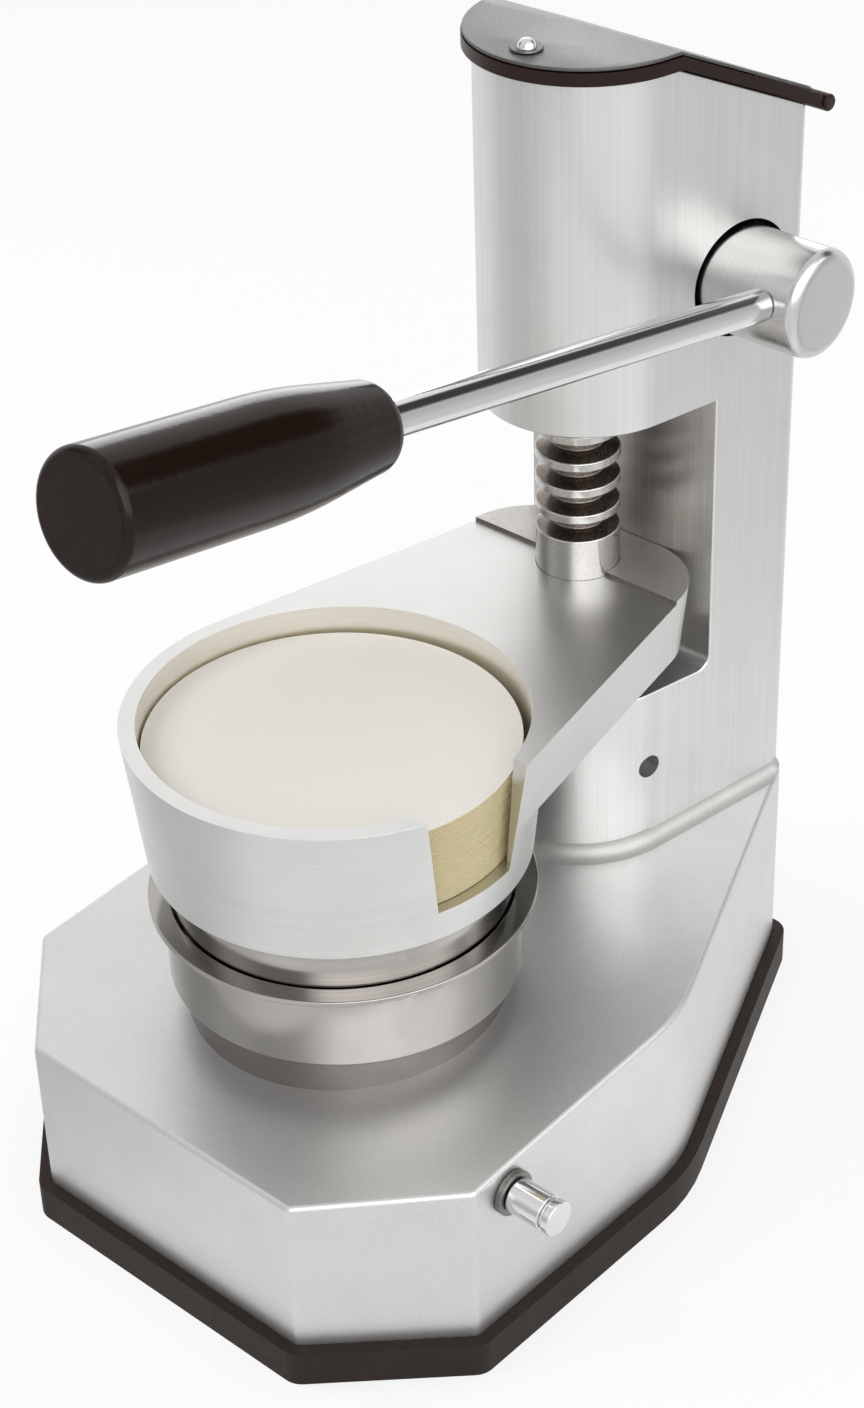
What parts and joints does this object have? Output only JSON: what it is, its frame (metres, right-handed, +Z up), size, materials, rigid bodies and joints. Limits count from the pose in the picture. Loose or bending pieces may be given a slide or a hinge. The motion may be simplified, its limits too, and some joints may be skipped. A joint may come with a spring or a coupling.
{
  "type": "burger press",
  "caption": "Manual lever burger press: a side lever drives a rack column that lowers a round press plate into a steel mould on an eight-sided base.",
  "frame": {"origin": "on the ground, under the mould's axis, on the rubber mat's underside", "axes": "+Z up, +Y to the rear where the column stands, +X to the lever's side"},
  "size_m": [0.1954, 0.2906, 0.3299],
  "materials": {
    "cast_aluminium": "satin anodised casting",
    "rubber": "matte",
    "polished_steel": "polished stainless steel",
    "chromed_steel": "bright chromed",
    "bronze": "turned bearing bronze",
    "dark_steel": "oiled steel",
    "black_plastic": "glossy brown-black moulded plastic",
    "grey_plate": "satin grey",
    "waxed_paper": "ivory waxed paper"
  },
  "bodies": {
    "frame": {"base_housing": "cast_aluminium", "base_mat": "rubber", "bottom_plate": "polished_steel", "bottom_screw_1": "dark_steel", "bottom_screw_2": "dark_steel", "bottom_screw_3": "dark_steel", "bottom_screw_4": "dark_steel", "bottom_screw_5": "dark_steel", "bottom_screw_6": "dark_steel", "column": "cast_aluminium", "column_screw_1": "dark_steel", "column_screw_2": "dark_steel", "column_screw_3": "dark_steel", "column_screw_4": "dark_steel", "foot_bush": "bronze", "head_bush": "bronze", "bush_setscrew": "dark_steel", "cap_trim": "black_plastic", "cap_plate": "grey_plate", "cap_screw": "chromed_steel", "mould_cup": "polished_steel", "rod_bush": "bronze", "ejector_pivot_pin": "chromed_steel", "ejector_pivot_clip": "dark_steel", "axle_bush_right": "bronze", "axle_bush_left": "bronze", "lock_bush": "polished_steel"},
    "press": {"rack_shaft": "chromed_steel", "lift_pin": "dark_steel", "press_arm": "cast_aluminium", "arm_setscrew": "dark_steel", "press_plate": "polished_steel", "press_plate_screw": "dark_steel", "paper_stack": "waxed_paper"},
    "lever": {"lever_hub": "polished_steel", "pinion": "dark_steel", "pinion_pin": "dark_steel", "lever_rod": "chromed_steel", "lever_grip": "black_plastic", "grip_insert": "bronze"},
    "ejector_link": {"ejector_bar": "dark_steel"},
    "ejector": {"ejector_plate": "polished_steel", "ejector_rod": "chromed_steel"},
    "lock": {"lock_pin": "chromed_steel", "lock_clip": "dark_steel"}
  },
  "joints": [
    {"name": "lever_turn", "type": "hinge", "parent": "frame", "child": "lever", "pos_m": [0, 0.13357, 0.2536], "axis": [-1, 0, 0], "range_deg": [-32, 110]},
    {"name": "press_slide", "type": "slide", "parent": "frame", "child": "press", "axis": [0, 0, 1], "range_m": [-0.00999, 0.03433]},
    {"name": "ejector_link_turn", "type": "hinge", "parent": "frame", "child": "ejector_link", "pos_m": [0, -0.0602, 0.034], "axis": [1, 0, 0], "range_deg": [-3.46, 11.88]},
    {"name": "ejector_slide", "type": "slide", "parent": "frame", "child": "ejector", "axis": [0, 0, 1], "range_m": [-0.00364, 0.01248]},
    {"name": "lock_turn", "type": "hinge", "parent": "frame", "child": "lock", "pos_m": [0.087, -0.0286, 0.0561], "axis": [1, 0, 0], "range_deg": [0, 90]}
  ],
  "couplings": [
    {"joint": "press_slide", "follows": "lever_turn", "m_per_rad": 0.017875},
    {"joint": "ejector_link_turn", "follows": "lever_turn", "ratio": 0.10794},
    {"joint": "ejector_slide", "follows": "lever_turn", "m_per_rad": 0.006498}
  ]
}
